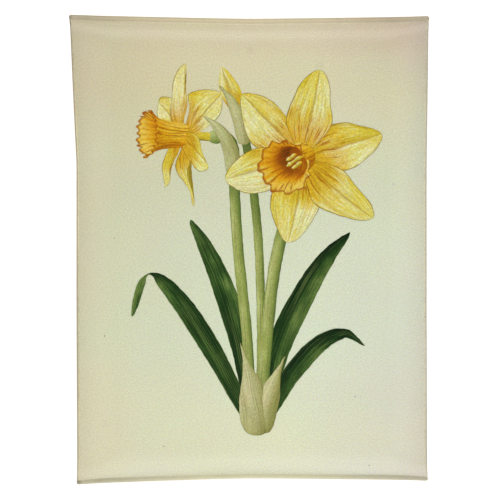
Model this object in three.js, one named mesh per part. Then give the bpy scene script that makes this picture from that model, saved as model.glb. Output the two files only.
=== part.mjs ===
// A shallow tray of slumped glass with a printed sheet glued under it and a painted paper backing.
// Millimetres. X runs across the tray, Y along it towards the top of the picture, Z up from the table.
import * as THREE from "three";

// Plan size, between the middles of opposite edges.
const trayWidth = 216;
const trayLength = 283.2;

// The sheets, from the top down, with the glue line between each two of them.
const glassThick = 5;
const glueLine = 0.12;
const printThick = 0.3;
const backingThick = 0.6;

// The rims. Each rises over its reach and leaves the edge at its lip angle.
const sideRim = { rise: 7, reach: 27, lip: 18 };
const topRim = { rise: 9.5, reach: 24, lip: 49 };
const bottomRim = { rise: 9, reach: 24, lip: 41 };
const cornerBlend = 1.6; // exponent that joins a side rim to an end rim: lower lifts the corners more

// How far each corner is drawn out past the middles of its two edges.
const cornerPull = {
  top: { left: { across: 4.2, along: 2.4 }, right: { across: 1.2, along: 1.5 } },
  bottom: { left: { across: -0.5, along: 3.4 }, right: { across: 0.3, along: 1.1 } },
};
const flareStart = { top: 0.38, bottom: 0.3 }; // share of the half length where the long sides start to flare
const flareCurve = 0.9; // 1 is an even flare, less starts it faster
const cornerCut = 0.9; // length of edge taken off at each corner

// Edge work: the ground arris of the glass, and how far the two papers are trimmed back from the edge.
const arris = 0.5;
const printTrim = 0.5;
const backingTrim = 0.8;

// Facets across one rim, and from a rim to the middle of the tray.
const rimSteps = 7;
const flatSteps = 4;

const halfWidth = trayWidth / 2;
const halfLength = trayLength / 2;

// Grid lines from one edge to the other: close together over the rims and wide apart over the flat.
function gridLines(half, reach) {
  const inward = [0];
  for (let k = 0; k < rimSteps; k++)
    inward.push(cornerCut + ((reach - cornerCut) * k) / (rimSteps - 1));
  for (let k = 1; k <= flatSteps; k++)
    inward.push(reach + ((half - reach) * k) / flatSteps);
  const lower = inward.map((distance) => distance - half);
  const upper = lower.slice(0, -1).reverse().map((place) => -place);
  return [...lower, ...upper];
}

// Height of one rim at a distance in from its edge: flat, then a cove that ends at the lip angle.
function rimHeight(rim, distance) {
  const t = Math.max(0, 1 - distance / rim.reach);
  const endSlope = Math.tan(THREE.MathUtils.degToRad(rim.lip)) * rim.reach;
  return rim.rise * t * t * (3 - 2 * t) + endSlope * t * t * (t - 1);
}

// The underside of the glass as a surface over the flat sheet's own x and y.
function underside(x, y) {
  const end = y > 0 ? "top" : "bottom";
  const pull = cornerPull[end][x > 0 ? "right" : "left"];
  const a = Math.abs(x) / halfWidth;
  const b = Math.abs(y) / halfLength;
  const flare = Math.max(0, (b - flareStart[end]) / (1 - flareStart[end]));
  const side = rimHeight(sideRim, halfWidth - Math.abs(x));
  const across = rimHeight(y > 0 ? topRim : bottomRim, halfLength - Math.abs(y));
  return new THREE.Vector3(
    x + Math.sign(x) * pull.across * a ** 3 * flare ** flareCurve,
    y + Math.sign(y) * pull.along * b ** 3 * a ** 1.2,
    (side ** cornerBlend + across ** cornerBlend) ** (1 / cornerBlend),
  );
}

// The surface's upward normal, from a small step each way.
function upward(x, y) {
  const step = 0.01;
  const alongX = underside(x + step, y).sub(underside(x - step, y));
  const alongY = underside(x, y + step).sub(underside(x, y - step));
  return alongX.cross(alongY).normalize();
}

// One bent sheet. levels are its layers of vertices above the glass's underside, and insets are
// how far the edge of each layer lies in from the edge of the glass.
function bentSheet(levels, insets) {
  const xs = gridLines(halfWidth, sideRim.reach);
  const ys = gridLines(halfLength, topRim.reach);
  const last = { x: xs.length - 1, y: ys.length - 1, z: levels.length - 1 };
  const box = new THREE.BoxGeometry(1, 1, 1, last.x, last.y, last.z);
  const place = box.attributes.position;
  for (let n = 0; n < place.count; n++) {
    const i = Math.round((place.getX(n) + 0.5) * last.x);
    const j = Math.round((place.getY(n) + 0.5) * last.y);
    const k = Math.round((place.getZ(n) + 0.5) * last.z);
    const atCorner = i % last.x === 0 && j % last.y === 0;
    const inset = atCorner ? (insets[k] + cornerCut) / 2 : insets[k];
    const x = THREE.MathUtils.clamp(xs[i], inset - halfWidth, halfWidth - inset);
    const y = THREE.MathUtils.clamp(ys[j], inset - halfLength, halfLength - inset);
    const point = underside(x, y).addScaledVector(upward(x, y), levels[k]);
    place.setXYZ(n, point.x, point.y, point.z);
  }
  splitAlike(box);
  box.computeVertexNormals();
  return box;
}

// Splits the squares of a box's lower face along the same diagonals as its upper face, so that the
// facets of two sheets lie parallel where they face each other.
function splitAlike(box) {
  const lowerFace = box.groups[5];
  const corner = box.index.array;
  for (let q = lowerFace.start; q < lowerFace.start + lowerFace.count; q += 6) {
    const [a, b, d, , c] = corner.slice(q, q + 6);
    corner.set([a, b, c, a, c, d], q);
  }
}

// The slumped sheet of clear glass, with an arris ground all round both edges.
function glassDish() {
  const geometry = bentSheet(
    [0, arris, glassThick - arris, glassThick],
    [arris, 0, 0, arris],
  );
  const material = new THREE.MeshStandardMaterial({
    color: 0xdfe9dc,
    roughness: 0.05,
    metalness: 0,
    transparent: true,
    opacity: 0.35,
  });
  return named("glass_dish", geometry, material);
}

// The printed sheet, glued face up under the glass.
function printedSheet() {
  const top = -glueLine;
  const geometry = bentSheet([top - printThick, top], [printTrim, printTrim]);
  const material = new THREE.MeshStandardMaterial({ color: 0xd9dabc, roughness: 0.6, metalness: 0 });
  return named("printed_sheet", geometry, material);
}

// The backing paper, glued under the print and painted.
function backingSheet() {
  const top = -2 * glueLine - printThick;
  const geometry = bentSheet([top - backingThick, top], [backingTrim, backingTrim]);
  const material = new THREE.MeshStandardMaterial({ color: 0x8a6c3e, roughness: 0.45, metalness: 0.4 });
  return named("backing_sheet", geometry, material);
}

function named(name, geometry, material) {
  const mesh = new THREE.Mesh(geometry, material);
  mesh.name = name;
  return mesh;
}

const tray = new THREE.Group();
tray.add(glassDish(), printedSheet(), backingSheet());

// The backing's flat middle stands on the table, and the origin is under the centre of the tray's box.
const box = new THREE.Box3().setFromObject(tray);
const centre = box.getCenter(new THREE.Vector3());
tray.position.set(-centre.x, -centre.y, -box.min.z);

export default tray;
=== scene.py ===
import math
import random

import bmesh
import bpy
from mathutils import Matrix, Vector
from mathutils.noise import noise_vector, seed_set


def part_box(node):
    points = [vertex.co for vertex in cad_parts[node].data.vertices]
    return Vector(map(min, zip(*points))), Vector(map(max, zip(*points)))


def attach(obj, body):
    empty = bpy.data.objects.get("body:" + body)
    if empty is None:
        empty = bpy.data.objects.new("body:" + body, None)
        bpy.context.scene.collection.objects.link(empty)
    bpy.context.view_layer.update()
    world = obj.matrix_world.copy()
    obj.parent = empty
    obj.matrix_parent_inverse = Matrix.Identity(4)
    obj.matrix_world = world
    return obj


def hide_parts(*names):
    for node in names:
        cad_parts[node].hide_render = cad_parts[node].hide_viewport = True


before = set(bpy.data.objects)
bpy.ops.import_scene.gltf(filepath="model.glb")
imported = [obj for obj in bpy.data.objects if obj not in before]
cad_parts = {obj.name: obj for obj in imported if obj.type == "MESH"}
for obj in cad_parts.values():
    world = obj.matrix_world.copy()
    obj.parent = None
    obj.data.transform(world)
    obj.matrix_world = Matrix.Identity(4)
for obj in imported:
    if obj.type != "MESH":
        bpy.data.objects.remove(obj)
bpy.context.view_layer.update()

# A glass tray with a picture glued under it: the glass, the printed sheet with its drawn flowers, and the
# painted backing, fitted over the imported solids.
# Lengths in the settings are millimetres, angles are degrees, and colours are 0 to 255 as on a screen.
# A noise is given by how often it changes in a millimetre, its detail and its roughness.
mm = 0.001
print("frame loaded:", ", ".join(sorted(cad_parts)))


# Shader arithmetic

class Wire:  # one output in a node tree, which can be reckoned with like a number
    def __init__(self, tree, socket=None):
        self.tree, self.socket = tree, socket

    def node(self, kind, settings=None, inputs=None, output=0):  # any node: its settings, then its sockets
        made = self.tree.nodes.new("ShaderNode" + kind)
        for key, value in (settings or {}).items():
            if key == "stops":
                fillRamp(made.color_ramp, value)
            else:
                setattr(made, key, value)
        for key, value in (inputs or {}).items():
            if isinstance(value, Wire):
                self.tree.links.new(value.socket, made.inputs[key])
            else:
                made.inputs[key].default_value = value
        return Wire(self.tree, made.outputs[output])

    def maths(self, operation, first, second=0.0):
        return self.node("Math", {"operation": operation}, {0: first, 1: second})

    def __add__(self, other):
        return self.maths("ADD", self, other)

    def __sub__(self, other):
        return self.maths("SUBTRACT", self, other)

    def __rsub__(self, other):
        return self.maths("SUBTRACT", other, self)

    def __mul__(self, other):
        return self.maths("MULTIPLY", self, other)

    def __truediv__(self, other):
        return self.maths("DIVIDE", self, other)

    def __rtruediv__(self, other):
        return self.maths("DIVIDE", other, self)

    def __abs__(self):
        return self.maths("ABSOLUTE", self)

    __radd__ = __add__
    __rmul__ = __mul__


def fillRamp(ramp, stops):
    while len(ramp.elements) < len(stops):
        ramp.elements.new(1.0)
    for element, (place, colour) in zip(ramp.elements, stops):
        element.position, element.color = place, colour


def paint(red, green, blue):  # a screen colour as the linear one that shaders take
    def linear(level):
        level /= 255
        return level / 12.92 if level <= 0.04045 else ((level + 0.055) / 1.055) ** 2.4
    return (linear(red), linear(green), linear(blue), 1.0)


def larger(first, second):
    return first.maths("MAXIMUM", first, second)


def smaller(first, second):
    return first.maths("MINIMUM", first, second)


def blend(share, first, second):  # from one colour to another
    return share.node("Mix", {"data_type": "RGBA"}, {0: share, 6: first, 7: second}, 2)


def step(value, low, high):  # 0 before low, 1 past high and smooth between
    return value.node("MapRange", {"interpolation_type": "SMOOTHSTEP"}, {0: value, 1: low, 2: high})


def shades(value, *stops):  # each stop is a place from 0 to 1 and a screen colour
    return value.node("ValToRGB", {"stops": [(place, paint(*colour)) for place, colour in stops]}, {0: value})


def noise(place, scale, detail=2.0, rough=0.5, output=0):
    inputs = {"Vector": place, "Scale": scale, "Detail": detail, "Roughness": rough}
    return place.node("TexNoise", None, inputs, output)


def attribute(wire, name):
    return wire.node("Attribute", {"attribute_name": name}, None, "Vector")


def split(vector):  # its three numbers
    first = vector.node("SeparateXYZ", None, {0: vector})
    return [Wire(first.tree, output) for output in first.socket.node.outputs]


def joined(x, y, z):  # three numbers as a vector or a colour
    source = next(part for part in (x, y, z) if isinstance(part, Wire))
    return source.node("CombineXYZ", None, {0: x, 1: y, 2: z})


def tinted(colour, factors):  # a colour times a colour
    return colour.node("VectorMath", {"operation": "MULTIPLY"}, {0: colour, 1: factors})


def dimmed(colour, share):  # a colour times a number
    return tinted(colour, joined(share, share, share))


def spot(place, x, y, radius):  # 1 in the middle of a soft round spot, 0 outside it
    away = place.node("VectorMath", {"operation": "DISTANCE"}, {0: place, 1: (x, y, 0)}, "Value")
    return 1 - step(away, radius * 0.45, radius * 1.1)


def grained(colour, place, size, strength):  # lighter and darker grain of one tone
    return dimmed(colour, noise(place, 1 / size, 2.0, 0.6) * (2 * strength) + (1 - strength))


def mottled(colour, place, size, strengths, detail=1.0):  # red, green and blue each wander by themselves
    factors = place.node("VectorMath", {"operation": "MULTIPLY_ADD"}, {
        0: noise(place, 1 / size, detail, 0.55, "Color"),
        1: [strength * 2 for strength in strengths], 2: [1 - strength for strength in strengths]})
    return tinted(colour, factors)


def raised(height, strength, distance):  # a normal from a height in metres
    return height.node("Bump", None, {"Strength": strength, "Distance": distance, "Height": height})


def newMaterial(name, **constants):  # a Principled material, with its even values on the shader's own sockets
    material = bpy.data.materials.new(name)
    material.use_nodes = True
    shader = material.node_tree.nodes["Principled BSDF"]
    for key, value in constants.items():
        shader.inputs[key.replace("_", " ")].default_value = value
    return material, Wire(material.node_tree), shader


def feed(wire, shader, **sockets):  # what changes over the surface
    for key, value in sockets.items():
        wire.tree.links.new(value.socket, shader.inputs[key.replace("_", " ")])


# The tray's shape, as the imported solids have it

trayShape = {
    "width": 216, "length": 283.2,  # between the middles of opposite edges
    "glass": 5, "glueLine": 0.12, "print": 0.3, "backing": 0.6,  # the layers' thickness, from the top down
    "sideRim": {"rise": 7, "reach": 27, "lip": 18},
    "topRim": {"rise": 9.5, "reach": 24, "lip": 49},
    "bottomRim": {"rise": 9, "reach": 24, "lip": 41},
    "cornerBlend": 1.6,
    "cornerPull": {  # (across, along) past the middles of the two edges that meet there
        (-1, 1): (4.2, 2.4), (1, 1): (1.2, 1.5), (-1, -1): (-0.5, 3.4), (1, -1): (0.3, 1.1),
    },
    "flareStart": {1: 0.38, -1: 0.3}, "flareCurve": 0.9,
    "cornerCut": 0.9, "arris": 0.5, "printTrim": 0.5, "backingTrim": 0.8,
}
halfWidth, halfLength = trayShape["width"] / 2, trayShape["length"] / 2


def rimHeight(rim, distance):
    t = max(0.0, 1 - distance / rim["reach"])
    endSlope = math.tan(math.radians(rim["lip"])) * rim["reach"]
    return rim["rise"] * t * t * (3 - 2 * t) + endSlope * t * t * (t - 1)


def underside(x, y):  # the underside of the glass over the flat sheet's x and y
    side, end = (1 if x > 0 else -1), (1 if y > 0 else -1)
    across, along = trayShape["cornerPull"][side, end]
    start = trayShape["flareStart"][end]
    a, b = abs(x) / halfWidth, abs(y) / halfLength
    flare = max(0.0, (b - start) / (1 - start)) ** trayShape["flareCurve"]
    sideRise = rimHeight(trayShape["sideRim"], halfWidth - abs(x))
    endRise = rimHeight(trayShape["topRim" if end > 0 else "bottomRim"], halfLength - abs(y))
    power = trayShape["cornerBlend"]
    rise = (sideRise ** power + endRise ** power) ** (1 / power)
    return Vector((x + side * across * a ** 3 * flare, y + end * along * b ** 3 * a ** 1.2, rise))


def upward(x, y):
    small = 0.01
    alongX = underside(x + small, y) - underside(x - small, y)
    alongY = underside(x, y + small) - underside(x, y - small)
    return alongX.cross(alongY).normalized()


def onTray(x, y, level):  # a point of the tray in millimetres, level above the underside of the glass
    return underside(x, y) + upward(x, y) * level


def findShift():  # from the tray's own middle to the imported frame's origin, in metres
    low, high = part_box("glass_dish")
    cut, arris = trayShape["cornerCut"], trayShape["arris"]
    tips = [onTray(side * x, end * y, arris) for side in (-1, 1) for end in (-1, 1)
            for x, y in ((halfWidth, halfLength - cut), (halfWidth - cut, halfLength))]
    middleX = (min(tip.x for tip in tips) + max(tip.x for tip in tips)) / 2
    middleY = (min(tip.y for tip in tips) + max(tip.y for tip in tips)) / 2
    base = 2 * trayShape["glueLine"] + trayShape["print"] + trayShape["backing"]  # what lies under the glass
    return Vector(((low.x + high.x) / 2 - middleX * mm, (low.y + high.y) / 2 - middleY * mm, base * mm))


shift = findShift()

# Rows of a sheet's grid, and the shares of them, from the edge to the middle, where the corner cut and the
# rim end.
gridSettings = {"rows": 100, "cutShare": 0.02, "rimShare": 0.5}


def gridLine(share, half, reach):  # share from -1 to 1 of a grid's rows, to a place across the sheet
    inward = 1 - abs(share)
    cut, cutShare, rimShare = trayShape["cornerCut"], gridSettings["cutShare"], gridSettings["rimShare"]
    if inward <= cutShare:
        distance = cut * inward / cutShare
    elif inward <= rimShare:
        distance = cut + (reach - cut) * (inward - cutShare) / (rimShare - cutShare)
    else:
        distance = reach + (half - reach) * (inward - rimShare) / (1 - rimShare)
    return math.copysign(half - distance, share)


def bentSheet(name, levels, insets, edgeIndex=0):  # a closed sheet, with a ring round its edge at each level
    rows, tiny = gridSettings["rows"], 1e-4
    bm = bmesh.new()
    flat = bm.verts.layers.float_vector.new("flat")  # the place on the flat sheet, and 0 to 1 up its edge
    bmesh.ops.create_grid(bm, x_segments=rows, y_segments=rows, size=1)
    for vert in bm.verts:
        vert[flat] = (gridLine(vert.co.x, halfWidth, trayShape["sideRim"]["reach"]),
                      gridLine(vert.co.y, halfLength, trayShape["topRim"]["reach"]), 0)

    def settle(verts, level, inset):
        for vert in verts:
            flatX, flatY, _ = vert[flat]
            atCorner = abs(flatX) > halfWidth - tiny and abs(flatY) > halfLength - tiny
            drawn = (inset + trayShape["cornerCut"]) / 2 if atCorner else inset
            x = max(drawn - halfWidth, min(halfWidth - drawn, flatX))
            y = max(drawn - halfLength, min(halfLength - drawn, flatY))
            vert.co = onTray(x, y, level) * mm + shift
            vert[flat] = (flatX, flatY, (level - levels[0]) / (levels[-1] - levels[0]))

    under = list(bm.faces)
    ring = [edge for edge in bm.edges if edge.is_boundary]
    upper = bmesh.ops.duplicate(bm, geom=under)["geom"]
    settle({vert for face in under for vert in face.verts}, levels[0], insets[0])
    settle([item for item in upper if isinstance(item, bmesh.types.BMVert)], levels[-1], insets[-1])
    for level, inset in zip(levels[1:], insets[1:]):
        grown = bmesh.ops.extrude_edge_only(bm, edges=ring)["geom"]
        for item in grown:
            if isinstance(item, bmesh.types.BMFace):
                item.material_index = edgeIndex
        ring = [item for item in grown if isinstance(item, bmesh.types.BMEdge) and item.is_boundary]
        settle([item for item in grown if isinstance(item, bmesh.types.BMVert)], level, inset)
    bmesh.ops.remove_doubles(bm, verts=bm.verts, dist=1e-6)
    bmesh.ops.recalc_face_normals(bm, faces=bm.faces)
    return finishMesh(name, bm, sharpAngle=30)


def finishMesh(name, bm, sharpAngle=180):
    for face in bm.faces:
        face.smooth = True
    for edge in bm.edges:
        if len(edge.link_faces) == 2 and edge.calc_face_angle(0) > math.radians(sharpAngle):
            edge.smooth = False
    mesh = bpy.data.meshes.new(name)
    bm.to_mesh(mesh)
    bm.free()
    piece = bpy.data.objects.new(name, mesh)
    bpy.context.scene.collection.objects.link(piece)
    return piece


def fit(piece, slotName, materials, *nodes):
    for material in materials:
        piece.data.materials.append(material)
    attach(piece, "root")
    if nodes:
        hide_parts(*nodes)


# The glass: clear and slightly wavy

glassSettings = {
    "tint": (0.93, 0.965, 0.93, 1), "roughness": 0.02, "ior": 1.5, "waveSize": 18, "waveDepth": 0.035,
    "overlap": 0.02,  # the clear glue counts as glass, which reaches this far past the top of the print
}


def letLightThrough(material, wire, shader, tint):  # lamps and scattered light pass, as through real glass
    shadow = wire.node("LightPath", None, None, "Is Shadow Ray")
    scattered = wire.node("LightPath", None, None, "Is Diffuse Ray")
    clear = wire.node("BsdfTransparent", None, {"Color": tint})
    mixed = wire.node("MixShader", None, {
        0: larger(shadow, scattered), 1: Wire(wire.tree, shader.outputs[0]), 2: clear})
    wire.tree.links.new(mixed.socket, material.node_tree.nodes["Material Output"].inputs["Surface"])


def glassMaterial():
    glass = glassSettings
    material, wire, shader = newMaterial("slumpedGlass", Base_Color=glass["tint"], IOR=glass["ior"],
                                         Roughness=glass["roughness"], Transmission_Weight=1.0)
    waves = noise(attribute(wire, "flat"), 1 / glass["waveSize"], 1.0)
    feed(wire, shader, Normal=raised(waves, 1.0, glass["waveDepth"] * mm))
    letLightThrough(material, wire, shader, glass["tint"])
    return material


# The edge of the glass: ground, with small nicks, darker and lighter patches, and painted highlight and shade
# across it

edgeSettings = {
    "roughness": 0.5, "transmission": 0.55, "tint": (0.8, 0.82, 0.76, 1),
    "tones": {  # from the outer arris to the inner one: the ground face's own tone, with painted highlight on the arrises and painted shade between them; each side has its own
        "bottom": ((0.0, (214, 207, 178)), (0.2, (198, 192, 163)), (0.43, (184, 180, 150)),
                   (0.66, (164, 160, 130)), (0.88, (163, 159, 131)), (1.0, (181, 176, 150))),
        "top": ((0.0, (212, 205, 178)), (0.1, (171, 160, 130)), (0.5, (198, 188, 160)),
                (0.86, (179, 168, 139)), (1.0, (212, 205, 178))),
        "left": ((0.0, (128, 112, 70)), (0.3, (118, 102, 56)), (0.76, (120, 104, 58)),
                 (0.9, (202, 192, 156)), (1.0, (212, 204, 172))),
        "right": ((0.0, (142, 133, 102)), (0.3, (134, 125, 94)), (0.68, (138, 129, 98)),
                  (0.84, (206, 200, 174)), (1.0, (224, 219, 194))),
    },
    "toneWander": 0.08,  # how far the grinding moves the tones up and down
    "grinding": (1.5, 3.0, 0.7), "mottling": (0.12, 2.0), "nicks": (0.8, 4.0, 0.75), "relief": (3, 2.0, 0.7),
    "reliefStrength": 0.6, "reliefDepth": 0.04,
    "shade": 0.84, "grindingShade": 0.2, "mottlingShade": 0.12,
    "nickShare": (0.5, 0.6), "nickShade": (0.1, 0.2),  # at the ends, and what the long sides add to it
    "lift": (0.42, 0.2), "liftReach": (15, 100),  # how much lighter the bottom and top are in their middle
    "edgePatches": (  # across, along, radius and depth of darker round patches, with depth less than 0 where the edge is lighter
        (-108, 139, 3.4, 0.42), (-108, -141, 3.4, 0.42), (-120, 141, 45, 0.18), (120, 141, 70, 0.14),
        (-120, -141, 45, 0.16), (120, -141, 45, 0.07), (-108, 40, 55, -0.28), (-108, -120, 32, -0.24)),
}


def edgeMaterial():
    edge = edgeSettings
    material, wire, shader = newMaterial("groundEdge", IOR=glassSettings["ior"], Roughness=edge["roughness"],
                                         Transmission_Weight=edge["transmission"])
    x, y, level = split(attribute(wire, "flat"))
    place = joined(x, y, level * trayShape["glass"])
    grinding, mottling = noise(place, *edge["grinding"]), noise(place, *edge["mottling"])
    height = level + (grinding - 0.5) * edge["toneWander"]
    bottom, top, left, right = [shades(height, *tones) for tones in edge["tones"].values()]
    atTop, atRight, atSide = step(y, -1, 1), step(x, -1, 1), step(abs(x), halfWidth - 1, halfWidth - 0.2)
    tone = blend(atSide, blend(atTop, bottom, top), blend(atRight, left, right))
    bottomLift, topLift = edge["lift"]
    lift = (1 - step(abs(x), *edge["liftReach"])) * (atTop * (topLift - bottomLift) + bottomLift)
    endNick, sideNick = edge["nickShade"]
    nicks = step(noise(place, *edge["nicks"]), *edge["nickShare"]) * (endNick + atSide * sideNick)
    shade = edge["shade"] + grinding * edge["grindingShade"] + mottling * edge["mottlingShade"] + lift - nicks
    # darker and lighter round patches along the edge
    for patchX, patchY, radius, depth in edge["edgePatches"]:
        shade = shade - spot(joined(x, y, 0.0), patchX, patchY, radius) * depth
    relief = raised(noise(place, *edge["relief"]), edge["reliefStrength"], edge["reliefDepth"] * mm)
    feed(wire, shader, Base_Color=dimmed(tone, shade), Normal=relief)
    letLightThrough(material, wire, shader, edge["tint"])
    return material


def makeGlass():
    arris, thick = trayShape["arris"], trayShape["glass"]
    foot = -trayShape["glueLine"] - glassSettings["overlap"]
    glass = bentSheet("slumped_glass", [foot, arris, thick - arris, thick], [arris, 0, 0, arris], edgeIndex=1)
    fit(glass, "clear_glass", [glassMaterial(), edgeMaterial()], "glass_dish")


# Paper: the aged ground of the printed sheet, with painted shade under its rims and a painted highlight above
# its bottom band

paperSettings = {
    "roughness": 0.6, "specular": 0.05,
    "tones": (  # from the bottom of the sheet to its top
        (0.0, (224, 220, 196)), (0.09, (222, 219, 193)), (0.3, (215, 218, 195)), (0.5, (213, 214, 192)),
        (0.66, (210, 209, 184)), (0.85, (214, 204, 173)), (0.96, (216, 205, 176)), (1.0, (226, 215, 187))),
    "toneAndLightPatches": (  # tone patches, painted shade under the rims and painted highlight over the bottom band: where they start and end across and along, and what they keep there
        # painted light among them: the long rims and the very bottom edge darker (painted shade), the strip
        # just above the bottom band lighter (painted highlight)
        ((40, -108), None, (0.95, 0.91, 0.87)),
        ((-86, -108), None, (0.945, 0.915, 0.915)), ((86, 108), None, (0.945, 0.915, 0.915)),
        ((-30, -108), (45, 141), (0.92, 0.915, 0.955)), ((30, 108), (45, 141), (0.92, 0.915, 0.955)),
        ((0, 108), (88, 132), (0.96, 0.905, 0.955)), ((10, 108), (60, -90), (0.95, 0.9, 0.98)),
        (None, (-138.6, -140.6), (0.9, 0.9, 0.91)), ((-120, 40), (112, 130), (0.98, 0.94, 0.96)),
        ((-66, -100), (64, 30), (1.0, 0.965, 0.93)), ((90, 108), (20, 60), (0.95, 1.0, 1.05)),
        ((-60, -100), (30, 110), (0.985, 1.0, 1.0)), (None, (-132, -137), (1.025, 1.015, 1.03)),
        ((10, 60), (40, 0), (1.014, 1.013, 1.02)), ((10, 60), (-60, -100), (0.98, 0.987, 0.99)),
        ((-40, -70), (-95, -120), (0.984, 0.992, 1.01)),
        # painted highlight: the paper lighter just above the bottom band, where the bent glass catches the
        # light
        ((0, -80), (-132, -137), (1.02, 1.03, 1.06)), ((0, 80), (-132, -137), (1.035, 1.035, 1.06)),
    ),
    "blotches": (30, (0.035, 0.03, 0.035)), "flecks": (1.0, (0.125, 0.105, 0.31), 2.0),  # size and strength
    "grain": (0.85, 0.27),
    "spots": (  # foxing and then specks: across, along, radius and depth
        (-1, 123, 2.9, 0.05), (42, 113, 3.1, 0.055), (29, -36, 2.9, 0.05), (-91, -107, 2.6, 0.04),
        (-91.3, -53.8, 0.6, 0.6), (-85.2, 6.5, 0.45, 0.6), (-54.4, -121.5, 0.5, 0.6), (13.4, -52, 0.5, 0.6),
        (63.9, -91.4, 0.5, 0.6), (72.5, -134, 0.5, 0.6), (-64, 80, 0.4, 0.6), (88, 40, 0.4, 0.6)),
}


def paperMaterial():
    paper = paperSettings
    material, wire, shader = newMaterial("printedPaper", Roughness=paper["roughness"],
                                         Specular_IOR_Level=paper["specular"])
    x, y, _ = split(attribute(wire, "flat"))
    place = joined(x, y, 0.0)
    colour = shades(y / (2 * halfLength) + 0.5, *paper["tones"])
    for across, along, keeps in paper["toneAndLightPatches"]:
        shares = [step(value, *ends) for value, ends in ((x, across), (y, along)) if ends]
        share = math.prod(shares[1:], start=shares[0])
        colour = tinted(colour, blend(share, (1, 1, 1, 1), keeps + (1,)))
    colour = mottled(mottled(colour, place, *paper["blotches"]), place, *paper["flecks"])
    colour = grained(colour, place, *paper["grain"])
    for spotX, spotY, radius, depth in paper["spots"]:
        colour = dimmed(colour, 1 - spot(place, spotX, spotY, radius) * depth)
    feed(wire, shader, Base_Color=colour)
    return material


def makePaper():
    top = -trayShape["glueLine"]
    sheet = bentSheet("print_ground", [top - trayShape["print"], top], [trayShape["printTrim"]] * 2)
    fit(sheet, "printed_paper", [paperMaterial()], "printed_sheet")


# Backing: paper brushed with bronze paint

backingSettings = {
    "tones": ((0.0, (92, 70, 38)), (0.45, (139, 108, 62)), (0.75, (163, 131, 80)), (1.0, (190, 160, 108))),
    "brushWidth": 0.7, "brushLength": 34, "strokes": (1.0, 3.0, 0.6), "strokeDepth": 0.9,
    "clouds": (0.03, 3.0),
    "waver": (0.02, 1.0), "waverReach": 9,  # how far the brush strays, in its own widths
    "bare": (196, 180, 148), "bareReach": 2.2,  # the unpainted strip along the edge
    "ragged": (0.25, 3.0, 0.65), "raggedBlend": 0.35,
    "scuffs": (0.5, 4.0, 0.7), "scuffStretch": (1.6, 0.35), "scuffShare": (0.7, 0.76), "scuffDepth": 0.7,
    "metallic": 0.55,
    "roughness": (0.72, 0.3, 0.1),  # of bare paper, what paint takes off it and what the strokes add
    "relief": (0.6, 0.5), "reliefStrength": 0.7, "reliefDepth": 0.06,  # the first two for strokes and paint
}


def backingMaterial():
    coat = backingSettings
    material, wire, shader = newMaterial("bronzePaint")
    x, y, _ = split(attribute(wire, "flat"))
    waver = noise(joined(x, y, 0.0), *coat["waver"]) * coat["waverReach"]
    brushed = joined(x / coat["brushWidth"] + waver, y / coat["brushLength"], 0.0)
    strokes, clouds = noise(brushed, *coat["strokes"]), noise(joined(x, y, 4.0), *coat["clouds"])
    colour = shades((strokes - 0.5) * coat["strokeDepth"] + clouds, *coat["tones"])
    inward = smaller(halfWidth - abs(x), halfLength - abs(y))
    ragged = (noise(joined(x, y, 9.0), *coat["ragged"]) * 2 - 0.55) * coat["bareReach"]
    painted = step(inward - ragged, 0.0, coat["raggedBlend"])
    stretchX, stretchY = coat["scuffStretch"]
    scuffs = noise(joined(x * stretchX, y * stretchY, 2.0), *coat["scuffs"])
    painted = painted * (1 - step(scuffs, *coat["scuffShare"]) * coat["scuffDepth"])
    bareRough, paintRough, strokeRough = coat["roughness"]
    rough = bareRough - painted * paintRough + strokes * strokeRough
    strokeRise, paintRise = coat["relief"]
    height = strokes * strokeRise + painted * paintRise
    feed(wire, shader, Base_Color=blend(painted, paint(*coat["bare"]), colour), Roughness=rough,
         Metallic=painted * coat["metallic"],
         Normal=raised(height, coat["reliefStrength"], coat["reliefDepth"] * mm))
    return material


def makeBacking():
    top = -2 * trayShape["glueLine"] - trayShape["print"]
    sheet = bentSheet("painted_backing", [top - trayShape["backing"], top], [trayShape["backingTrim"]] * 2)
    fit(sheet, "backing_paint", [backingMaterial()], "backing_sheet")


makeGlass()
makePaper()
makeBacking()
print("tray made")


# The picture: leaves, stems and flowers with real curves, shaded by their own form and then pressed flat
# on the paper. Drawn places are millimetres across, up and towards the viewer.

pictureSettings = {
    "lamp": (-0.5, 0.5, 0.7),  # towards the light that the picture is drawn in
    "lowest": -0.112, "highest": 0.16,  # levels of the ink, above the underside of the glass
    "depth": 40,  # drawn depth, each way, that is pressed into one layer
    "wobble": (0.3, 0.3),  # how far the drawing hand strays, and how often in a millimetre
    "wobbleSeed": 1,  # without a seed the hand would stray another way each run
    "nudge": 0.004,  # the share of a surface over which its slope is read
    "seedShift": 131,  # millimetres of grain from one seed to the next
    "layers": {  # where each thing's layer lies between the lowest and highest level
        "backLeaves": (0.0, 0.05), "budStem": (0.08, 0.11), "bud": (0.12, 0.16), "sideStem": (0.18, 0.22),
        "sideFlower": (0.24, 0.48), "openStem": (0.5, 0.54), "frontLeaves": (0.56, 0.61),
        "sheaths": (0.63, 0.66), "outerTepals": (0.68, 0.74), "innerTepals": (0.77, 0.83),
        "openCup": (0.86, 1.0),
    },
}
seed_set(pictureSettings["wobbleSeed"])


def pressed(point, layer):
    low, high = pictureSettings["layers"][layer]
    depth = max(0.0, min(1.0, 0.5 + point.z / (2 * pictureSettings["depth"])))
    bottom, top = pictureSettings["lowest"], pictureSettings["highest"]
    level = bottom + (top - bottom) * (low + (high - low) * depth)
    return onTray(point.x, point.y, level) * mm + shift


def newDrawing():  # a mesh that keeps how each point lies on its own petal or leaf
    bm = bmesh.new()
    bm.verts.layers.float_vector.new("form")  # across from -1 to 1, along from 0 to 1, and how lit it is
    bm.verts.layers.float_vector.new("grain")  # millimetres across and along, and 1 for front or -1 for back
    return bm


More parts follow.
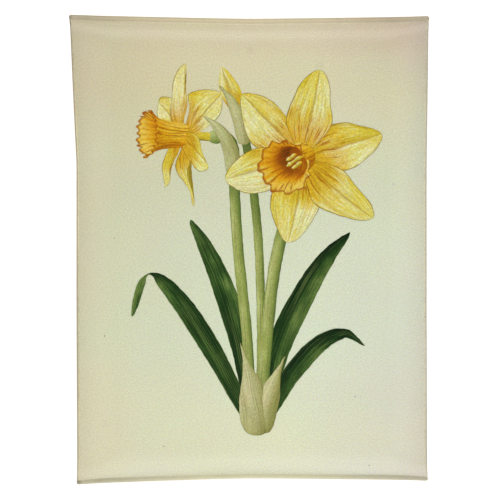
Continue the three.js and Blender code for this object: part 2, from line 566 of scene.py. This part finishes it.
# Draws a surface that is given by u, from -1 to 1 across, and v, from 0 to 1 along. A grid is its columns,
# its rows and the millimetres of grain along it.
def draw(bm, surface, layer, grid, seed=0, shadow=None):
    columns, rows, length = grid
    form, grain = bm.verts.layers.float_vector["form"], bm.verts.layers.float_vector["grain"]
    lamp, nudge = Vector(pictureSettings["lamp"]).normalized(), pictureSettings["nudge"]
    stray, often = pictureSettings["wobble"]
    for vert in bmesh.ops.create_grid(bm, x_segments=columns, y_segments=rows, size=1)["verts"]:
        u, v = vert.co.x, (vert.co.y + 1) / 2
        nearU = max(nudge - 1, min(1 - nudge, u))
        nearV = max(2 * nudge, min(1 - 2 * nudge, v))
        across = (surface(nearU + nudge, nearV) - surface(nearU - nudge, nearV)) / (2 * nudge)
        along = surface(nearU, nearV + nudge) - surface(nearU, nearV - nudge)
        normal = across.cross(along).normalized()
        side = 1 if normal.z > 0 else -1
        point = surface(u, v)
        point += noise_vector(point * often) * stray
        lit = 0.5 + 0.5 * side * normal.dot(lamp)
        if shadow:
            lit *= shadow(point)
        vert[form] = (u, v, lit)
        vert[grain] = (u * across.length, v * length + seed * pictureSettings["seedShift"], side)
        vert.co = pressed(point, layer)


def finishDrawing(name, bm, material):
    bmesh.ops.remove_doubles(bm, verts=bm.verts, dist=1e-9)
    bm.normal_update()
    bmesh.ops.reverse_faces(bm, faces=[face for face in bm.faces if face.normal.z < 0])
    fit(finishMesh(name, bm), "printed_paper", [material])


def through(places, share):  # a smooth curve through drawn places, or numbers
    spans = len(places) - 1
    along = max(0.0, min(spans - 1e-6, share * spans))
    k = int(along)
    t = along - k
    before, here = places[max(k - 1, 0)], places[k]
    after, last = places[k + 1], places[min(k + 2, spans)]
    return (here * 2 + (after - before) * t + (before * 2 - here * 5 + after * 4 - last) * t ** 2
            + (here * 3 - before - after * 3 + last) * t ** 3) * 0.5


def spineFrame(spine, v):  # the place, and the directions along the spine, to its right and to the viewer
    here, near = through(spine, v), 0.01
    ahead = (through(spine, min(1, v + near)) - through(spine, max(0, v - near))).normalized()
    right = Vector((ahead.y, -ahead.x, 0)).normalized()
    return here, ahead, right, right.cross(ahead)


def vectors(places):
    return [Vector(place) for place in places]


# The inks. Strokes are given by how close they lie across, how often they change along, a seed, their
# detail and their roughness. A wash is a colour and how strongly it covers the one below.

inkSettings = {
    "roughness": 0.6, "specular": 0.05,
    "flecks": (1.1, (0.2, 0.2, 0.2), 2.0), "clouds": (16, (0.06, 0.06, 0.06)),  # size and strength
    "fineGrain": (0.5, 0.3), "coarseGrain": (1.3, 0.34), "lineBlend": 0.09,
}


def newInk(name):
    return newMaterial(name, Roughness=inkSettings["roughness"], Specular_IOR_Level=inkSettings["specular"])


def inked(wire, shader, colour):  # the fine grain that all the inks share
    ink = inkSettings
    place = wire.node("TexCoord", None, None, "Object")
    place = place.node("VectorMath", {"operation": "SCALE"}, {0: place, "Scale": 1 / mm})
    colour = mottled(mottled(colour, place, *ink["flecks"]), place, *ink["clouds"])
    colour = grained(grained(colour, place, *ink["fineGrain"]), place, *ink["coarseGrain"])
    feed(wire, shader, Base_Color=colour)


def fromEdge(across, acrossMm):  # millimetres from the nearest long edge
    return abs(acrossMm) * (1 / larger(abs(across), 0.02) - 1)


def facingUs(side):  # 1 on the front of a petal or leaf, 0 on its back
    return step(side, -0.5, 0.5)


def strokes(across, along, close, often, seed, detail=2.0, rough=0.55):
    return noise(joined(across * close, along * often, seed), 1.0, detail, rough)


def lines(across, along, thin, pattern):  # 1 on thin drawn strokes
    return step(strokes(across, along, *pattern), thin, thin + inkSettings["lineBlend"])


def washed(colour, share, wash):
    tone, strength = wash
    return blend(share * strength, colour, paint(*tone))


petalInk = {
    "tones": ((0.08, (112, 98, 34)), (0.34, (172, 146, 40)), (0.54, (206, 178, 48)),
              (0.7, (216, 192, 76)), (0.86, (220, 206, 124)), (1.0, (226, 220, 168))),
    "hatch": (7, 0.07, 0.0, 3.0, 0.65), "hatchDepth": 0.8,
    "fine": (18, 0.16, 5.0, 2.0, 0.6), "fineDepth": 0.6, "backShade": 0.16,
    "foot": ((210, 152, 12), 0.7), "footReach": (0.08, 0.62), "footRagged": 0.5,
    "rib": ((168, 126, 34), 0.55), "ribWidth": (0.02, 0.08),
    "vein": ((158, 128, 34), 1.0), "veins": (16, 0.03, 2.0),
    "veinDepth": (0.5, 0.2),  # in the dark, and what light takes off it
    "rust": ((158, 84, 6), 0.75), "rustLines": (12, 0.07, 8.0), "rustReach": (0.1, 0.75), "thin": 0.53,
    "outline": ((136, 106, 34), 0.85), "outlineWidth": (0.2, 0.75), "outlineRagged": 0.7,
}


def petalMaterial():
    ink = petalInk
    material, wire, shader = newInk("petalInk")
    across, along, lit = split(attribute(wire, "form"))
    acrossMm, alongMm, side = split(attribute(wire, "grain"))
    hatch, fine = [strokes(across, alongMm, *ink[name]) - 0.5 for name in ("hatch", "fine")]
    tone = lit + hatch * ink["hatchDepth"] + fine * ink["fineDepth"] - (1 - facingUs(side)) * ink["backShade"]
    colour = shades(tone, *ink["tones"])
    foot = 1 - step(along + hatch * ink["footRagged"], *ink["footReach"])
    rib = 1 - step(abs(across), *ink["ribWidth"])
    dark, light = ink["veinDepth"]
    veins = lines(across, alongMm, ink["thin"], ink["veins"]) * (dark - tone * light)
    rust = lines(across, alongMm, ink["thin"], ink["rustLines"]) * step(foot, *ink["rustReach"])
    outline = 1 - step(fromEdge(across, acrossMm) + fine * ink["outlineRagged"], *ink["outlineWidth"])
    shares = {"foot": foot, "rib": rib, "vein": veins, "rust": rust, "outline": outline}
    for name, share in shares.items():
        colour = washed(colour, share, ink[name])
    inked(wire, shader, colour)
    return material


cupInk = {
    "outer": ((0.12, (142, 82, 4)), (0.4, (190, 124, 10)), (0.62, (212, 156, 20)), (0.82, (222, 182, 60)),
              (1.0, (228, 204, 118))),
    "inner": ((0.12, (92, 46, 2)), (0.36, (150, 78, 4)), (0.62, (200, 126, 10)), (0.8, (216, 158, 26)),
              (1.0, (226, 190, 84))),
    "innerLit": 0.45, "mouthLit": 0.58, "mouthReach": (0.25, 1.0),  # the inside is lighter near the mouth
    "ribs": (20, 1.2, 0.0, 3.0, 0.65), "ribDepth": 0.9,
    "stroke": ((146, 66, 2), 0.7), "strokes": (24, 1.6, 3.0), "thin": 0.52,
    "lip": ((150, 74, 4), 0.8), "lipReach": (0.94, 0.985), "lipRagged": 0.05,
}


def cupMaterial():
    ink = cupInk
    material, wire, shader = newInk("cupInk")
    across, along, lit = split(attribute(wire, "form"))
    side = split(attribute(wire, "grain"))[2]
    ribs = strokes(across, along, *ink["ribs"]) - 0.5
    tone = lit + ribs * ink["ribDepth"]
    innerTone = tone * ink["innerLit"] + step(along, *ink["mouthReach"]) * ink["mouthLit"]
    colour = blend(facingUs(side), shades(innerTone, *ink["inner"]), shades(tone, *ink["outer"]))
    colour = washed(colour, lines(across, along, ink["thin"], ink["strokes"]), ink["stroke"])
    colour = washed(colour, step(along + ribs * ink["lipRagged"], *ink["lipReach"]), ink["lip"])
    inked(wire, shader, colour)
    return material


greenInk = {
    "streaks": (0.035, 0.0, 3.0, 0.65),
    "threads": (0.02, 3.0, 2.0, 0.5), "threadWidth": 0.8,  # of a streak's
    "paleThreads": (0.55, 0.64), "darkThreads": (0.36, 0.45), "threadStrength": 0.5,
    "clouds": (0.1, 0.06, 7.0, 2.0, 0.5), "cloudDepth": 0.4, "backLight": 0.1,
    "outlineWidth": (0.1, 0.55), "outlineRagged": 0.5, "outlineStrength": 0.6,
}


def greenMaterial(name, tones, streakWidth, streakStrength, edgeTone):
    ink = greenInk
    material, wire, shader = newInk(name)
    across, _, lit = split(attribute(wire, "form"))
    acrossMm, alongMm, side = split(attribute(wire, "grain"))
    streaks = strokes(acrossMm, alongMm, 1 / streakWidth, *ink["streaks"]) - 0.5
    threads = strokes(acrossMm, alongMm, 1 / (streakWidth * ink["threadWidth"]), *ink["threads"])
    clouds = strokes(acrossMm, alongMm, *ink["clouds"]) - 0.5
    back = 1 - facingUs(side)
    tone = lit + streaks * streakStrength + clouds * ink["cloudDepth"] + back * ink["backLight"]
    colour = shades(tone, *tones)
    colour = washed(colour, step(threads, *ink["paleThreads"]), (edgeTone, ink["threadStrength"]))
    colour = washed(colour, 1 - step(threads, *ink["darkThreads"]), (tones[0][1], ink["threadStrength"]))
    outline = 1 - step(fromEdge(across, acrossMm) + streaks * ink["outlineRagged"], *ink["outlineWidth"])
    colour = washed(colour, outline, (edgeTone, ink["outlineStrength"]))
    inked(wire, shader, colour)
    return material


# The two flowers' places, and the shade that they cast on what is drawn behind them

flowers = {
    "open": {"centre": (31, 57, 0), "facing": (-0.36, -0.22, 0.9), "roll": 14, "size": 1.2, "seed": 4,
             "layers": ("outerTepals", "innerTepals", "openCup")},
    "side": {"centre": (-42, 70, 0), "facing": (-0.9, 0.04, 0.42), "roll": 38, "size": 1.0, "seed": 9,
             "layers": ("sideFlower",) * 3},
}
shadeSettings = {
    "flower": {"shift": (3, -6, 0), "reach": 46, "blur": 14, "depth": 0.32},
    "cup": {"shift": (5, -6, 0), "reach": 19, "blur": 7, "depth": 0.34},
}


def roundShade(point, middle, reach, blur, depth):  # what is left of the light, near something round
    away = math.hypot(point.x - middle.x, point.y - middle.y)
    return 1 - depth * max(0.0, min(1.0, (reach - away) / blur))


def underFlowers(point):
    shade, keep = shadeSettings["flower"], 1.0
    for flower in flowers.values():
        middle = Vector(flower["centre"]) + Vector(shade["shift"])
        keep *= roundShade(point, middle, shade["reach"] * flower["size"], shade["blur"], shade["depth"])
    return keep


# Leaves and stems

leafSettings = {
    "grid": (14, 110, 120),
    "backLeaves": (
        {"spine": ((10, -100, 0), (17, -62, 3), (33, -26, 5), (47, -4, 2), (61, 10, -4)), "width": 16,
         "twist": (14, 8, -18, -30, -44), "hollow": 0.5},
        {"spine": ((-1, -100, 0), (-7, -60, 3), (-17, -25, 4), (-28, 1, 2), (-38, 18, 0)), "width": 14.5,
         "twist": (-20, -14, 6, 22, 30), "hollow": 0.45},
    ),
    "frontLeaves": (
        {"spine": ((-4, -101, 0), (-22, -66, 6), (-42, -34, 10), (-58, -17, 8), (-68, -20, 4),
                   (-74, -42, -4)), "width": 14.5, "twist": (10, 16, 34, 62, 118, 160), "hollow": 0.4},
        {"spine": ((12, -101, 0), (24, -78, 6), (42, -58, 8), (58, -52, 4), (70, -60, -4)), "width": 13,
         "twist": (-10, -18, -30, -48, -70), "hollow": 0.42},
    ),
    "ink": {"tones": ((0.2, (4, 22, 7)), (0.5, (12, 38, 12)), (0.76, (26, 54, 18)), (0.9, (58, 84, 36)),
                      (1.0, (104, 124, 62))),
            "streakWidth": 0.8, "streakStrength": 0.42, "edgeTone": (96, 112, 60)},
}


def leafSurface(leaf):
    spine, twist = vectors(leaf["spine"]), leaf["twist"]

    def surface(u, v):
        here, _, right, front = spineFrame(spine, v)
        turn = math.radians(through(twist, v))
        sideways = right * math.cos(turn) + front * math.sin(turn)
        outward = front * math.cos(turn) - right * math.sin(turn)
        swell = 0.5 + 0.5 * math.sin(math.pi / 2 * min(1, v * 2.4))
        half = leaf["width"] / 2 * swell * (1 - v ** 3.2) ** 0.75
        return here + sideways * (u * half) + outward * (leaf["hollow"] * half * (abs(u) ** 1.4 - 0.4))
    return surface


def drawLeaves():
    bm = newDrawing()
    for layer in ("backLeaves", "frontLeaves"):
        for k, leaf in enumerate(leafSettings[layer]):
            draw(bm, leafSurface(leaf), layer, leafSettings["grid"], k + len(layer), underFlowers)
    finishDrawing("drawn_leaves", bm, greenMaterial("leafInk", **leafSettings["ink"]))


stemSettings = {
    "grid": (10, 90, 190),
    "stems": {
        "openStem": {"spine": ((6, -101, 0), (9, -58, 2), (15, -8, 2), (26, 34, 0), (34, 58, -6)),
                     "radius": 3.8},
        "sideStem": {"spine": ((0, -101, 0), (-3, -52, 0), (-8, -4, 0), (-10.5, 36, 0), (-10.5, 57, 0),
                               (-13.5, 67.5, 0), (-21, 69.5, 0)), "radius": 3.3},
        "budStem": {"spine": ((5, -101, 0), (6, -50, 0), (4, 8, 0), (-2, 58, 0), (-9, 86, 0)), "radius": 2.7},
    },
    "ink": {"tones": ((0.15, (62, 80, 32)), (0.45, (98, 114, 52)), (0.68, (132, 142, 72)),
                      (0.88, (160, 164, 92)), (1.0, (186, 186, 124))),
            "streakWidth": 0.6, "streakStrength": 0.36, "edgeTone": (78, 92, 40)},
}


def tubeSurface(spine, radius):  # the near half of a round stem
    def surface(u, v):
        here, _, right, front = spineFrame(spine, v)
        turn = u * math.pi / 2
        return here + right * (radius * math.sin(turn)) + front * (radius * math.cos(turn))
    return surface


def drawStems():
    bm = newDrawing()
    for layer, stem in stemSettings["stems"].items():
        surface = tubeSurface(vectors(stem["spine"]), stem["radius"])
        draw(bm, surface, layer, stemSettings["grid"], len(layer), underFlowers)
    finishDrawing("drawn_stems", bm, greenMaterial("stemInk", **stemSettings["ink"]))


drawLeaves()
drawStems()
print("leaves and stems drawn")


# Flowers

tepalSettings = {
    "length": 42, "width": 26, "throat": 5, "lift": 1.5, "footWidth": 0.36, "grid": (24, 60),
    "outerShare": 1.06, "innerShare": 0.94,  # of the width
    "angles": (-5, 5), "lengths": (0.94, 1.05),  # from here to phase, the range that each tepal draws from
    "bend": (-0.16, 0.05), "sway": (-0.08, 0.08), "twist": (-26, 26), "hollow": (0.1, 0.4),
    "ripple": (0.1, 0.22), "waves": (1.1, 1.8), "phase": (0, 6.28),
    "creaseDepth": 0.07, "creaseWidth": 0.13,
}
cupSettings = {
    "length": 25, "throat": 7.5, "taper": 1.6, "mouth": 14, "waves": 11, "frill": 1.1, "grid": (132, 44),
    "floorShare": 0.12, "floorDepth": 2.5,  # the share of the rows that makes the cup's floor
}
throatSettings = {
    "pistil": {"reach": 0.74, "radius": 0.75, "knob": 1.3, "grid": (16, 30, 20)},
    "stamens": {"count": 6, "start": 20, "ring": 2.9, "reach": 0.6, "radius": 1.0, "grid": (12, 12, 8)},
}
stalkSettings = {  # behind the flower that is seen from the side
    "tube": {"length": 17, "radius": 2.7, "grid": (24, 20, 16)},
    "ovary": {"length": 11, "radius": 4.1, "grid": (24, 20, 11)},
    "ink": {"tones": ((0.15, (70, 88, 36)), (0.5, (112, 128, 58)), (0.8, (150, 156, 84)),
                      (1.0, (180, 182, 116))),
            "streakWidth": 0.7, "streakStrength": 0.3, "edgeTone": (72, 88, 38)},
}


def facingTurn(facing, roll):  # turns a flower's own frame, which faces the viewer, to the way it looks
    ahead = Vector(facing).normalized()
    right = Vector((0, 1, 0)).cross(ahead).normalized()
    upright = Matrix((right, ahead.cross(right), ahead)).transposed()
    return upright @ Matrix.Rotation(math.radians(roll), 3, "Z")


def tepalSurface(flower, turn, angle, inner, dice):
    tepal, size = tepalSettings, flower["size"]

    def drawn(name):
        return dice.uniform(*tepal[name])
    length = tepal["length"] * size * drawn("lengths")
    width = tepal["width"] * size * tepal["innerShare" if inner else "outerShare"]
    bend, sway, twist, hollow = drawn("bend"), drawn("sway"), math.radians(drawn("twist")), drawn("hollow")
    ripple, waves, phase = drawn("ripple"), drawn("waves"), drawn("phase")
    centre, angle = Vector(flower["centre"]), math.radians(angle)
    out = Vector((math.cos(angle), math.sin(angle), 0))
    side = Vector((math.sin(angle), -math.cos(angle), 0))
    front = Vector((0, 0, 1))
    lift = tepal["lift"] if inner else -tepal["lift"]
    foot = tepal["footWidth"]

    def surface(u, v):
        swell = foot + (1 - foot) * math.sin(math.pi / 2 * min(1, v / 0.5))
        half = width / 2 * swell * max(0.0, 1 - v ** 2.6) ** 0.62 * 1.04
        wave = ripple * abs(u) ** 3 * math.sin(2 * math.pi * waves * v + phase + (1.9 if u > 0 else 0))
        rise = lift * size + length * (bend * v ** 2) + half * (hollow * (u * u - 0.35) + wave)
        rise -= tepal["creaseDepth"] * half * math.exp(-(u / tepal["creaseWidth"]) ** 2)
        across = side * math.cos(twist * v) + front * math.sin(twist * v)
        along = out * (tepal["throat"] * size + length * v) + side * (length * sway * v * v)
        return centre + turn @ (along + across * (u * half) + front * rise)
    return surface


def spunSurface(centre, turn, outline):  # outline gives the reach and radius for a share along and an angle
    def surface(u, v):
        angle = u * math.pi
        reach, radius = outline(v, angle)
        return centre + turn @ Vector((-radius * math.sin(angle), radius * math.cos(angle), reach))
    return surface


def cupOutline(size):
    cup = cupSettings
    throat, taper, waves, floorShare = cup["throat"], cup["taper"], cup["waves"], cup["floorShare"]

    def outline(v, angle):
        if v < floorShare:
            part = v / floorShare
            return size * cup["floorDepth"] * (part * part - 1), size * throat * math.sin(part * math.pi / 2)
        v = (v - floorShare) / (1 - floorShare)
        frill = size * cup["frill"] * v ** 7
        radius = throat + taper * v + (cup["mouth"] - throat - taper) * v ** 4
        folds = frill * 0.8 * math.sin(waves * angle + 0.8 * math.sin(3 * angle))
        folds += 0.35 * size * v * math.sin(6 * angle)
        return size * cup["length"] * v + frill * math.sin(waves * angle * 2 + 1), size * radius + folds
    return outline


def drawThroat(bm, flower, turn):  # the pistil and the stamens round it
    pistil, stamens = throatSettings["pistil"], throatSettings["stamens"]
    size, centre, layer = flower["size"], Vector(flower["centre"]), flower["layers"][2]
    deep = cupSettings["length"] * size

    def pistilOutline(v, angle):
        knob = math.exp(-((v - 0.93) / 0.05) ** 2) * (pistil["knob"] - pistil["radius"])
        return deep * pistil["reach"] * v, size * (pistil["radius"] + knob) * (1 - v ** 30)

    def stamenOutline(v, angle):
        radius = size * stamens["radius"] * math.sin(math.pi * v) ** 0.6
        return deep * stamens["reach"] * (0.45 + 0.55 * v), radius
    draw(bm, spunSurface(centre, turn, pistilOutline), layer, pistil["grid"], seed=1)
    for k in range(stamens["count"]):
        angle = math.radians(360 / stamens["count"] * k + stamens["start"])
        place = turn @ Vector((math.cos(angle), math.sin(angle), 0)) * stamens["ring"] * size
        draw(bm, spunSurface(centre + place, turn, stamenOutline), layer, stamens["grid"], seed=k)


def cupShadow(flower, turn):  # the cup's drawn shadow on the tepals behind it
    shade, size, foot = shadeSettings["cup"], flower["size"], Vector(flower["centre"])
    mouth = foot + turn @ Vector((0, 0, cupSettings["length"] * size))
    middle = (foot + mouth) / 2 + Vector(shade["shift"]) * size
    reach, blur = shade["reach"] * size, shade["blur"] * size

    def shadow(point):
        return roundShade(point, middle, reach, blur, shade["depth"])
    return shadow


def drawStalk(petals, greens):
    flower, tube, ovary = flowers["side"], stalkSettings["tube"], stalkSettings["ovary"]
    size, centre, turn = flower["size"], Vector(flower["centre"]), facingTurn(flower["facing"], 0)

    def tubeOutline(v, angle):
        return -tube["length"] * size * v, tube["radius"] * size * (1.7 - 0.7 * min(1, v * 2.5))

    def ovaryOutline(v, angle):
        radius = 0.05 + ovary["radius"] * math.sin(math.pi * (0.12 + 0.86 * v)) ** 0.7
        return -tube["length"] * size - ovary["length"] * v, radius
    draw(petals, spunSurface(centre, turn, tubeOutline), "sideFlower", tube["grid"], seed=3)
    draw(greens, spunSurface(centre, turn, ovaryOutline), "sideFlower", ovary["grid"], seed=5)


def drawFlowers():
    petals, cups, greens = newDrawing(), newDrawing(), newDrawing()
    tepal, cup = tepalSettings, cupSettings
    for flower in flowers.values():
        size, seed, layers = flower["size"], flower["seed"], flower["layers"]
        turn, dice = facingTurn(flower["facing"], flower["roll"]), random.Random(seed)
        shadow = cupShadow(flower, turn)
        for k in range(6):
            inner = k % 2
            surface = tepalSurface(flower, turn, 60 * k + dice.uniform(*tepal["angles"]), inner, dice)
            draw(petals, surface, layers[inner], (*tepal["grid"], tepal["length"] * size), k + seed, shadow)
        surface = spunSurface(Vector(flower["centre"]), turn, cupOutline(size))
        draw(cups, surface, layers[2], (*cup["grid"], cup["length"] * size), seed)
        drawThroat(petals, flower, turn)
    drawStalk(petals, greens)
    finishDrawing("drawn_petals", petals, petalMaterial())
    finishDrawing("drawn_cups", cups, cupMaterial())
    finishDrawing("drawn_ovaries", greens, greenMaterial("ovaryInk", **stalkSettings["ink"]))


drawFlowers()
print("flowers drawn")


# Bud, and the papery sheaths round the stems

budSettings = {
    "foot": (-8.5, 85, 0), "facing": (-0.34, 0.92, 0.2), "roll": 241, "length": 30, "radius": 6.2,
    "folds": 3, "foldDepth": 0.05, "foldTwist": 2.198,  # how far the folds wind round it, in radians
    "grid": (48, 40, 30),
}


def drawBud():
    bm, bud = newDrawing(), budSettings

    def outline(v, angle):
        swell = math.sin(math.pi * min(1, 0.1 + 0.9 * v ** 0.9)) ** 0.75
        folds = 1 + bud["foldDepth"] * math.cos(bud["folds"] * (angle + bud["foldTwist"] * v))
        return bud["length"] * v, 0.05 + bud["radius"] * swell * folds
    turn = facingTurn(bud["facing"], bud["roll"])
    draw(bm, spunSurface(Vector(bud["foot"]), turn, outline), "bud", bud["grid"], seed=2)
    finishDrawing("drawn_bud", bm, petalMaterial())


sheathSettings = {
    "grid": (16, 44, 30),
    "sheaths": (  # two at the tops of the stems and two at their foot
        {"spine": ((-10.5, 45, 0), (-12, 57, 2), (-16, 68, 4), (-23, 77, 2), (-30, 82, 0)),
         "width": 10.5, "foot": 0.62},
        {"spine": ((-4, 66, 0), (-7.5, 80, 2), (-13, 92, 2), (-20, 101, 0)), "width": 9.5, "foot": 0.55},
        {"spine": ((4, -113, 0), (2, -97, 2), (-1, -80, 2), (-7, -58, 0)), "width": 22, "foot": 0.26},
        {"spine": ((6, -112, 0), (9, -97, 2), (14, -82, 2), (21, -66, 0)), "width": 17, "foot": 0.3},
    ),
    "ink": {"tones": ((0.15, (104, 98, 50)), (0.45, (140, 138, 76)), (0.7, (168, 162, 104)),
                      (0.9, (190, 184, 134)), (1.0, (204, 196, 150))),
            "streakWidth": 0.55, "streakStrength": 0.5, "edgeTone": (120, 108, 60)},
}


def sheathSurface(sheath):
    spine, foot = vectors(sheath["spine"]), sheath["foot"]

    def surface(u, v):
        here, ahead, right, front = spineFrame(spine, v)
        swell = foot + (1 - foot) * math.sin(math.pi * min(1, v + 0.15))
        half = sheath["width"] / 2 * swell * (1 - v ** 2.4) ** 0.85
        wave = 0.06 * half * math.sin(9 * v + 2 * u)
        sag = 0.3 * half * (1 - u * u) * max(0.0, 1 - 3 * v)  # the foot goes round the stem
        return here + right * (u * half + wave) - ahead * sag + front * (half * 0.8 * (1 - u * u))
    return surface


def drawSheaths():
    bm = newDrawing()
    for k, sheath in enumerate(sheathSettings["sheaths"]):
        draw(bm, sheathSurface(sheath), "sheaths", sheathSettings["grid"], seed=k)
    finishDrawing("drawn_sheaths", bm, greenMaterial("sheathInk", **sheathSettings["ink"]))


drawBud()
drawSheaths()
print("bud and sheaths drawn")


# Stage: pale floor, soft light and the camera over the tray

stageSettings = {
    "floorSize": 40000, "floorGap": 0.1, "floorTone": (250, 250, 250), "floorGlow": 0.42,
    "cameraHeight": 1200, "sensor": 36,
    "pixel": 0.6205,  # millimetres of the tray in one pixel of the picture
    "pictureSide": 500, "aim": (0.53, -0.35),  # the place on the tray that the middle of the picture shows
    "dome": (  # height of the direction above the floor, 0 to 1, and the brightness there
        (0.0, 0.5), (0.3, 0.55), (0.45, 1.4), (0.6, 1.78), (0.75, 1.78), (1.0, 0.05)),
    "backdrop": 1.1,  # what the camera sees past the floor
}


def layFloor():
    stage = stageSettings
    bm = bmesh.new()
    bmesh.ops.create_grid(bm, x_segments=1, y_segments=1, size=stage["floorSize"] * mm / 2)
    floor = finishMesh("floor", bm)
    material, _, _ = newMaterial(
        "paleFloor", Base_Color=paint(*stage["floorTone"]), Roughness=0.9, Specular_IOR_Level=0.1,
        Emission_Color=(1, 1, 1, 1), Emission_Strength=stage["floorGlow"])
    floor.data.materials.append(material)
    floor.location.z = -stage["floorGap"] * mm


def lightStage():
    world = bpy.data.worlds.new("studio")
    world.use_nodes = True
    wire = Wire(world.node_tree)
    height = split(wire.node("TexCoord", None, None, "Generated"))[2]
    brightest = max(tone for _, tone in stageSettings["dome"])
    stops = [(place, [tone / brightest] * 3 + [1]) for place, tone in stageSettings["dome"]]
    tone = height.node("ValToRGB", {"stops": stops}, {0: height})
    backdrop = [stageSettings["backdrop"] / brightest] * 3 + [1]
    seen = blend(wire.node("LightPath", None, None, "Is Camera Ray"), tone, backdrop)
    background = world.node_tree.nodes["Background"]
    wire.tree.links.new(seen.socket, background.inputs["Color"])
    background.inputs["Strength"].default_value = brightest
    bpy.context.scene.world = world
    bpy.context.scene.view_settings.view_transform = "Standard"


def placeCamera():
    stage = stageSettings
    camera = bpy.data.cameras.new("camera")
    height, seen = stage["cameraHeight"] * mm, stage["pixel"] * stage["pictureSide"] * mm
    camera.sensor_width = stage["sensor"]
    camera.lens = camera.sensor_width * height / seen
    eye = bpy.data.objects.new("camera", camera)
    aimX, aimY = stage["aim"]
    eye.location = (aimX * mm, aimY * mm, height)
    bpy.context.scene.collection.objects.link(eye)
    bpy.context.scene.camera = eye


layFloor()
lightStage()
placeCamera()
print("stage set")
